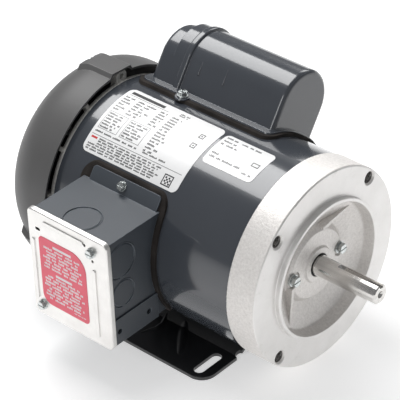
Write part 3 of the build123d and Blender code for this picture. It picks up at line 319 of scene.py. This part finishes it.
def laminations():
    """Stacked electrical-steel sheets, edge on."""
    s = Shader("laminations")
    x, _, _ = s.axes()
    sheets = s.math("SINE", s.math("MULTIPLY", x, 12000.0))
    blued = s.mix(s.ramp(s.noise(45.0, 4.0), 0.35, 0.65), (0.13, 0.14, 0.17), (0.3, 0.29, 0.28))
    s.base(Base_Color=blued, Metallic=0.9, Roughness=s.ramp(s.noise(90.0), 0.3, 0.7, 0.4, 0.6))
    s.base(Normal=s.bump(sheets, 0.0001, 0.6))
    return s.material


def foam():
    """Closed-cell foam with small pores."""
    s = Shader("foam_rubber")
    pores = s.cells(1500.0)
    colour = s.mix(s.ramp(s.noise(50.0, 4.0), 0.3, 0.7), (0.012, 0.010, 0.009), (0.035, 0.030, 0.027))
    s.base(Base_Color=colour, Roughness=s.ramp(pores, 0.0, 0.5, 0.75, 0.95))
    s.base(Normal=s.bump(pores, 0.0003, 0.6), Specular_IOR_Level=0.25)
    return s.material


PAINT = gloss_paint("slate_enamel", (0.043, 0.048, 0.058), (0.048, 0.054, 0.064), 0.2, 0.7, 0.04)
BASE_PAINT = gloss_paint("black_enamel", (0.010, 0.010, 0.011), (0.014, 0.014, 0.015), 0.3, 0.8, 0.16)
BOX_PAINT = gloss_paint("box_enamel", (0.046, 0.055, 0.067), (0.052, 0.061, 0.073), 0.42, 0.1, 0.2)
FAN_PAINT = gloss_paint(
    "fan_cover_enamel", (0.082, 0.081, 0.081), (0.092, 0.091, 0.091), 0.5, 0.06, 0.3, 0.00012
)
SHIELD = cast_metal("cast_shield", 0.6, ((0.70, 0.675, 0.65), (0.90, 0.875, 0.85)))
# Painted shade: a darker copy of the cast aluminium for the rear endbell, which sits in shade under the
# fan cover.
SHADED_REAR_SHIELD = cast_metal("rear_cast_shield_shaded", 0.6, ((0.42, 0.41, 0.39), (0.66, 0.65, 0.62)))
SHAFT_STEEL = ground_steel()
BEARING = metal(
    "bearing_steel", (0.5, 0.5, 0.5), (0.7, 0.7, 0.7), 0.16, 1.0, 0.00002, around(4000, 4000)
)
SHEET = metal("galvanised_sheet", (0.74, 0.73, 0.71), (0.87, 0.86, 0.84), 0.36, 55.0, 0.00006)
ZINC = metal("zinc_plate", (0.50, 0.53, 0.53), (0.74, 0.77, 0.76), 0.2, 420.0, 0.00006)
BRASS = metal("brass", (0.6, 0.4, 0.14), (0.78, 0.56, 0.24), 0.28, 380.0, 0.00005)
COPPER = copper_strands()
CORE = laminations()
RUBBER = plastic("black_rubber", (0.010, 0.010, 0.010), (0.024, 0.023, 0.022), 0.72, 500.0, 0.0001)
FOAM = foam()
BLACK_PLASTIC = plastic("black_plastic", (0.014, 0.014, 0.015), (0.03, 0.03, 0.032), 0.42)
FAN_PLASTIC = plastic("fan_plastic", (0.020, 0.020, 0.022), (0.045, 0.045, 0.048), 0.5)
PHENOLIC = plastic("phenolic_board", (0.15, 0.065, 0.028), (0.25, 0.11, 0.05), 0.5, 300.0)
SPOOL = plastic("spool_plastic", (0.42, 0.37, 0.26), (0.55, 0.5, 0.37), 0.45)
WIRE = plastic("lead_insulation", (0.02, 0.05, 0.22), (0.04, 0.09, 0.32), 0.4)
WHITE_LABEL = label_sheet("white_label", (0.84, 0.84, 0.84), (0.80, 0.80, 0.80))
RED_LABEL = label_sheet("red_label", (0.80, 0.085, 0.14), (0.74, 0.075, 0.125))
# Painted shade: the thread inside the face holes is a far darker metal than the face it is cut in.
SHADED_THREAD = metal("shaded_thread", (0.3, 0.29, 0.28), (0.55, 0.54, 0.52), 0.3, 600.0, 0.00005)
DARK_INK = label_sheet("dark_ink", (0.012, 0.012, 0.014), (0.03, 0.03, 0.032))
RED_INK = label_sheet("red_ink", (0.6, 0.05, 0.05), (0.5, 0.04, 0.04))
WHITE_INK = label_sheet("white_ink", (0.8, 0.76, 0.77), (0.72, 0.66, 0.68))

LOOKS = {
    "painted_barrel": PAINT,
    "painted_base": BASE_PAINT,
    "painted_box": BOX_PAINT,
    "fan_cover_paint": FAN_PAINT,
    "cast_aluminium": SHIELD,
    "bare_sheet_steel": SHEET,
    "turned_steel": SHAFT_STEEL,
    "bearing_steel": BEARING,
    "zinc_plated": ZINC,
    "lamination_steel": CORE,
    "winding_copper": COPPER,
    "contact_brass": BRASS,
    "black_rubber": RUBBER,
    "foam_gasket": FOAM,
    "black_plastic": BLACK_PLASTIC,
    "fan_plastic": FAN_PLASTIC,
    "board_phenolic": PHENOLIC,
    "spool_plastic": SPOOL,
    "label_white": WHITE_LABEL,
    "label_red": RED_LABEL,
    "lead_insulation": WIRE,
}


def dress_nodes():
    """Gives every CAD node its material, by its slot in the record; the rear endbell gets a darker copy
    of the cast aluminium, as painted shade.
    """
    own_looks = {"rear_endbell": SHADED_REAR_SHIELD}
    for part in frame["record"]["subparts"]:
        node = NODES[part["node"]]
        node.data.materials.clear()
        node.data.materials.append(own_looks.get(part["node"], LOOKS[part["material_slot"]]))


# ---- Mesh pieces ----
def mesh_piece(name, points, faces, look, body="frame", smooth=True):
    """A new piece from its points and faces, riding on one body."""
    mesh = bpy.data.meshes.new(name)
    mesh.from_pydata(points, [], faces)
    mesh.validate()
    for face in mesh.polygons:
        face.use_smooth = smooth
    mesh.materials.append(look)
    made = bpy.data.objects.new(name, mesh)
    bpy.context.scene.collection.objects.link(made)
    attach(made, body)
    return made


def skin_rows(rows, closed=False):
    """Points and quads that join equal rows of points, each row closed on itself or open."""
    width = len(rows[0])
    spans = width if closed else width - 1
    faces = []
    for i in range(len(rows) - 1):
        for j in range(spans):
            k = (j + 1) % width
            faces.append((i * width + j, i * width + k, (i + 1) * width + k, (i + 1) * width + j))
    return [point for line in rows for point in line], faces


def bead(name, stops, look, body="frame"):
    """A smooth raised bead through (point, radius) stops."""
    curve = bpy.data.curves.new(name, "CURVE")
    curve.dimensions = "3D"
    curve.bevel_depth = 1.0
    curve.bevel_resolution = 4
    curve.resolution_u = 8
    curve.use_fill_caps = True
    spline = curve.splines.new("NURBS")
    spline.points.add(len(stops) - 1)
    for point, (place, radius) in zip(spline.points, stops):
        point.co = (*place, 1.0)
        point.radius = radius
    spline.order_u = 3
    spline.use_endpoint_u = True
    curve.materials.append(look)
    made = bpy.data.objects.new(name, curve)
    bpy.context.scene.collection.objects.link(made)
    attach(made, body)
    return made


# ---- Printed labels: rows of plain bars stand in for every word ----
FILM = 0.3 * MM
INK_STEP = 2.0


def on_barrel(label, first_clock):
    """Maps (across, down) millimetres on a barrel label to a point just above its film."""
    low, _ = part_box(label)

    def place(across, down):
        angle = math.radians(first_clock) + down * MM / BARREL_R
        radius = BARREL_R + FILM
        return Vector(
            (low.x + across * MM, -radius * math.sin(angle), AXIS_Z + radius * math.cos(angle))
        )

    return place


def on_plate(label):
    """Maps (across, down) millimetres on the cover plate's label to a point just above it."""
    low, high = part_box(label)

    def place(across, down):
        return Vector((low.x + across * MM, low.y - 0.05 * MM, high.z - down * MM))

    return place


def print_marks(name, marks, place, look):
    """Prints (left, top, right, bottom) rectangles through a label's map, as one piece."""
    points, faces = [], []
    for left, top, right, bottom in marks:
        steps = max(1, math.ceil((bottom - top) / INK_STEP))
        downs = [top + (bottom - top) * i / steps for i in range(steps + 1)]
        start = len(points)
        for down in downs:
            points += [place(left, down), place(right, down)]
        for i in range(steps):
            a = start + 2 * i
            faces.append((a, a + 2, a + 3, a + 1))
    return mesh_piece(name, points, faces, look, smooth=False)


def letters(chance, left, right, top, height):
    """One word's worth of narrow blocks."""
    marks, across = [], left
    while across + 0.6 * height <= right:
        tall = chance.choice((0.75, 1.0, 1.0))
        marks.append((across, top + height * (1 - tall), across + 0.6 * height, top + height))
        across += 0.78 * height
    return marks


def words(chance, left, right, top, height):
    """A line of words of uneven length between two limits."""
    marks, across = [], left
    while across < right - height:
        end = min(right, across + height * chance.uniform(2.0, 6.0))
        marks += letters(chance, across, end, top, height)
        across = end + height * 0.9
    return marks


def rule(left, right, top, thickness=0.3):
    return [(left, top, right, top + thickness)]


def frame_marks(left, top, right, bottom, line):
    """The four sides of an empty printed box."""
    return [
        (left, top, right, top + line),
        (left, bottom - line, right, bottom),
        (left, top, left + line, bottom),
        (right - line, top, right, bottom),
    ]


def rating_print():
    """Nameplate: a header bar, data rows in columns, a ruled table, fine print, three blocks."""
    chance = random.Random(7)
    marks = [(4.0, 3.4, 38.0, 6.4)] + rule(4.0, 44.0, 7.6, 0.4)
    for row_top in (3.6, 5.6):
        marks += words(chance, 54.0, 63.0, row_top, 1.4)
    for i, top in enumerate((10.2, 13.2, 16.2, 19.2, 22.2, 25.2)):
        marks += words(chance, 3.0, 13.0 - 2.0 * (i % 2), top, 1.7)
        marks += words(chance, 16.0, 34.0 - 4.0 * (i % 3), top, 1.7)
        marks += words(chance, 39.0, 47.0, top, 1.7)
        marks += words(chance, 51.0, 62.0 - 3.0 * (i % 2), top, 1.7)
    for i in range(7):
        marks += words(chance, 51.0, 60.0 + 2.0 * (i % 3), 28.6 + 2.9 * i, 1.6)
    for left, right in ((3.0, 22.0), (25.0, 45.0)):
        marks += frame_marks(left, 29.0, right, 46.0, 0.35)
        for i in range(6):
            marks += words(chance, left + 1.2, right - 1.5 - 2.0 * (i % 3), 30.4 + 2.6 * i, 1.5)
    marks += words(chance, 3.0, 46.0, 48.0, 1.4) + words(chance, 52.0, 76.0, 48.0, 1.4)
    marks += rule(2.0, 94.0, 51.6, 0.35)
    for i in range(6):
        marks += words(chance, 11.0 if i < 3 else 3.0, 76.0 - 3.0 * (i % 3), 53.2 + 2.0 * i, 1.25)
    for centre in (16.0, 26.5):
        marks += frame_marks(83.0, centre - 2.4, 88.0, centre + 2.4, 0.9)
        marks += [(84.8, centre - 0.7, 86.2, centre + 0.7)]
    marks += frame_marks(80.5, 55.6, 89.5, 64.6, 0.9)
    for i in range(4):
        for j in range(4):
            if (i + j) % 2 == 0:
                marks.append((82.2 + 1.5 * i, 57.3 + 1.5 * j, 83.7 + 1.5 * i, 58.8 + 1.5 * j))
    place = on_barrel("rating_label", -1.5)
    print_marks("rating_label_print", marks, place, DARK_INK)
    print_marks("rating_label_red_bar", [(3.0, 53.4, 9.0, 55.0)], place, RED_INK)


def data_print():
    """Second label: three short data rows, two rows of print and one plain block."""
    chance = random.Random(11)
    marks = words(chance, 2.5, 13.0, 2.6, 1.5) + words(chance, 17.0, 38.0, 2.6, 1.5)
    marks += words(chance, 2.5, 15.0, 6.4, 1.7) + words(chance, 2.5, 18.0, 10.2, 1.7)
    marks += words(chance, 2.5, 12.0, 20.6, 1.7) + words(chance, 2.5, 33.0, 24.0, 1.8)
    marks += words(chance, 36.0, 45.0, 26.6, 1.4)
    marks += frame_marks(37.5, 14.6, 44.5, 18.8, 1.0)
    print_marks("data_label_print", marks, on_barrel("data_label", 0.5), DARK_INK)


def cover_print():
    """Red label: two header bars, each over centred rows of bars."""
    chance = random.Random(5)
    marks = []
    for head, top, count in ((19.0, 4.2, 7), (17.0, 30.2, 8)):
        marks += [(24.2 - head / 2, top, 24.2 + head / 2, top + 2.2)]
        for i in range(count):
            half = chance.uniform(15.5, 21.5)
            marks += words(chance, 24.2 - half, 24.2 + half, top + 3.4 + 2.95 * i, 1.9)
    marks += words(chance, 33.0, 45.5, 57.6, 0.9)
    print_marks("cover_label_print", marks, on_plate("cover_label"), WHITE_INK)


# ---- Pressed and cut details ----
CAP_CLOCK = math.radians(-35.0)
CAP_HALF = 27.0


def on_cover(x, side, height):
    """A point given on the capacitor cover's own upright axes."""
    y = side * math.cos(CAP_CLOCK) - height * math.sin(CAP_CLOCK)
    up = side * math.sin(CAP_CLOCK) + height * math.cos(CAP_CLOCK)
    return row(x, y, up) + Vector((0, 0, AXIS_Z))


def teardrop(name, x, low, high, side):
    """A pressed teardrop on the capacitor cover's wall: fine at the top, round at the bottom."""
    rows = []
    for i in range(25):
        t = i / 24
        swell = 0.16 + 0.94 * t**1.6
        tip = math.sqrt(max(0.0, 1.0 - ((t - 0.91) / 0.09) ** 2)) if t > 0.91 else 1.0
        rows.append([])
        for j in range(9):
            turn = math.pi * (j / 8 - 0.5)
            across = swell * tip * math.sin(turn)
            proud = (0.12 + 0.78 * t) * tip * math.cos(turn) - 0.04
            rows[-1].append(on_cover(x + across, side * (CAP_HALF + proud), high + (low - high) * t))
    points, faces = skin_rows(rows)
    return mesh_piece(name, points, faces, PAINT)


def face_thread(name, clock):
    """The thread inside one face hole, as a helical ridge of 1.59 mm pitch."""
    pitch, crest, root, turns, sides = 1.5875, 3.95, 4.39, 9, 24
    angle = math.radians(clock)
    reach = math.sqrt(2) * HOLE_PLACE
    centre = Vector((FACE_X, -reach * math.sin(angle), AXIS_Z + reach * math.cos(angle)))
    rows = []
    for i in range(turns * sides + 1):
        turn = 2 * math.pi * i / sides
        back = -2.0 - pitch * i / sides
        line = []
        for radius, step in ((root, 0.0), (crest, -0.42), (crest, -0.58), (root, -1.0)):
            out = Vector((0, math.sin(turn), math.cos(turn))) * radius * MM
            line.append(centre + out + Vector(((back + step * pitch) * MM, 0, 0)))
        rows.append(line)
    points, faces = skin_rows(rows)
    return mesh_piece(name, points, faces, SHADED_THREAD)


FOOT_TOP = 2.8
SADDLE_TOP, SADDLE_Y, BEND_Y = 12.1, 24.0, 41.6
BOX_TOP = 44.0
TOP_KNOCKOUT = (-35.8, -111.7, 14.2)
SIDE_KNOCKOUTS = ((-112.8, 23.5, 14.2), (-112.4, -6.0, 11.1))
RIM_STEPS = 28
BEAD_STEPS = 40


def base_top(y):
    """Height of the base sheet's upper side at a distance from the middle."""
    if abs(y) >= BEND_Y:
        return FOOT_TOP
    return FOOT_TOP + (BEND_Y - abs(y)) / (BEND_Y - SADDLE_Y) * (SADDLE_TOP - FOOT_TOP)


def base_beads():
    """Pressed stiffening beads that run over the bends of the base."""
    runs = {
        "curved": (2.6, ((-27.5, 68), (-25.0, 62), (-22.0, 55), (-22.0, 48), (-25.0, 42), (-27.0, 37))),
        "straight": (6.0, ((14.0, 69), (9.0, 61), (3.0, 53), (-2.0, 46), (-5.0, 41), (-8.0, 36))),
    }
    for label, (half, run) in runs.items():
        for side, sign in (("left", -1), ("right", 1)):
            rows = []
            for i in range(BEAD_STEPS + 1):
                step, part = divmod(i / BEAD_STEPS * (len(run) - 1), 1)
                here, there = run[int(step)], run[min(int(step) + 1, len(run) - 1)]
                x, y = (here[k] + (there[k] - here[k]) * part for k in (0, 1))
                swell = math.sqrt(max(0.0, 1.0 - (2 * i / BEAD_STEPS - 1) ** 2))
                rows.append([])
                for j in range(13):
                    across = half * swell * (j / 6 - 1)
                    rise = 1.3 * swell * math.cos(math.pi * (j / 12 - 0.5)) ** 2 - 0.05
                    rows[-1].append(row(x + across, sign * y, base_top(y) + rise))
            points, faces = skin_rows(rows)
            mesh_piece(f"base_bead_{label}_{side}", points, faces, BASE_PAINT)


def weld_nuggets():
    """Short uneven weld runs where the barrel sits in the base."""
    chance = random.Random(3)
    for index, (x, sign) in enumerate([(x, sign) for x in (-38.0, 0.0, 38.0) for sign in (-1, 1)]):
        stops = []
        for i in range(7):
            place = row(x - 9 + 3 * i, sign * (SADDLE_Y + 0.9), SADDLE_TOP + 0.9)
            wobble = row(0, chance.uniform(-0.3, 0.3), chance.uniform(-0.2, 0.3))
            radius = (1.1 if 0 < i < 6 else 0.5) + chance.uniform(-0.15, 0.25)
            stops.append((place + wobble, radius * MM))
        bead(f"weld_{index}", stops, BASE_PAINT)


def knockout_rims():
    """The raised lip that the punch leaves round most of each knockout."""
    low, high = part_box("conduit_box")
    top = row(TOP_KNOCKOUT[0], TOP_KNOCKOUT[1], BOX_TOP)
    rims = [("top", top, TOP_KNOCKOUT[2], Vector((1, 0, 0)), Vector((0, 1, 0)))]
    for end, x in (("front", high.x), ("back", low.x)):
        for index, (y, z, radius) in enumerate(SIDE_KNOCKOUTS):
            place = Vector((x, y * MM, z * MM))
            rims.append((f"{end}_{index}", place, radius, Vector((0, 1, 0)), Vector((0, 0, 1))))
    for label, centre, radius, across, up in rims:
        stops = []
        for i in range(RIM_STEPS + 1):
            turn = math.radians(-70 + 320 * i / RIM_STEPS)
            reach = (radius + 1.0) * MM
            place = centre + across * reach * math.cos(turn) + up * reach * math.sin(turn)
            thickness = 0.15 if i in (0, RIM_STEPS) else 0.45
            stops.append((place + Vector((0, 0, AXIS_Z)), thickness * MM))
        bead(f"knockout_rim_{label}", stops, BOX_PAINT)


def details():
    """Every piece that the CAD doesn't hold."""
    knockout_rims()
    rating_print()
    data_print()
    cover_print()
    for index, (x, low, high) in enumerate(((-48.4, 95.0, 106.5), (-23.8, 95.0, 108.5))):
        for label, side in (("near", -1), ("far", 1)):
            teardrop(f"cover_teardrop_{label}_{index}", x, low, high, side)
    for clock in (45, 135, 225, 315):
        face_thread(f"face_thread_{clock}", clock)
    base_beads()
    weld_nuggets()


# ---- Stage and light ----
def stage():
    """A plain pale floor."""
    floor = bpy.data.meshes.new("floor")
    half = 6.0
    corners = [(-half, -half, 0), (half, -half, 0), (half, half, 0), (-half, half, 0)]
    floor.from_pydata(corners, [], [(0, 1, 2, 3)])
    ground = bpy.data.objects.new("floor", floor)
    bpy.context.scene.collection.objects.link(ground)
    s = Shader("floor_paper")
    tone = s.mix(s.noise(3.0), (0.70, 0.70, 0.70), (0.72, 0.72, 0.72))
    s.base(Base_Color=tone, Roughness=0.9, Specular_IOR_Level=0.1)
    s.base(Emission_Color=(1.0, 1.0, 1.0, 1.0), Emission_Strength=0.48)
    floor.materials.append(s.material)


def softbox(name, place, target, width, height, power):
    """A white area light that faces a target."""
    data = bpy.data.lights.new(name, "AREA")
    data.shape = "RECTANGLE"
    data.size, data.size_y = width, height
    data.energy = power
    light = bpy.data.objects.new(name, data)
    light.location = place
    light.rotation_euler = (Vector(target) - Vector(place)).to_track_quat("-Z", "Y").to_euler()
    bpy.context.scene.collection.objects.link(light)


def lights():
    """Dim even surroundings and three softboxes."""
    world = bpy.data.worlds.new("studio")
    bpy.context.scene.world = world
    world.use_nodes = True
    world.node_tree.nodes["Background"].inputs["Color"].default_value = (0.97, 0.98, 1.0, 1.0)
    world.node_tree.nodes["Background"].inputs["Strength"].default_value = 0.25
    bpy.context.scene.view_settings.view_transform = "Standard"
    centre = (0.0, 0.0, 0.08)
    softbox("overhead", (-0.5, 0.15, 1.15), centre, 0.75, 0.9, 13.0)
    softbox("front", (0.0, -1.7, 1.15), centre, 0.7, 0.8, 7.5)
    softbox("rear", (-0.5, 1.7, 1.2), centre, 1.2, 0.7, 9.0)


camera()
stage()
lights()
dress_nodes()
details()
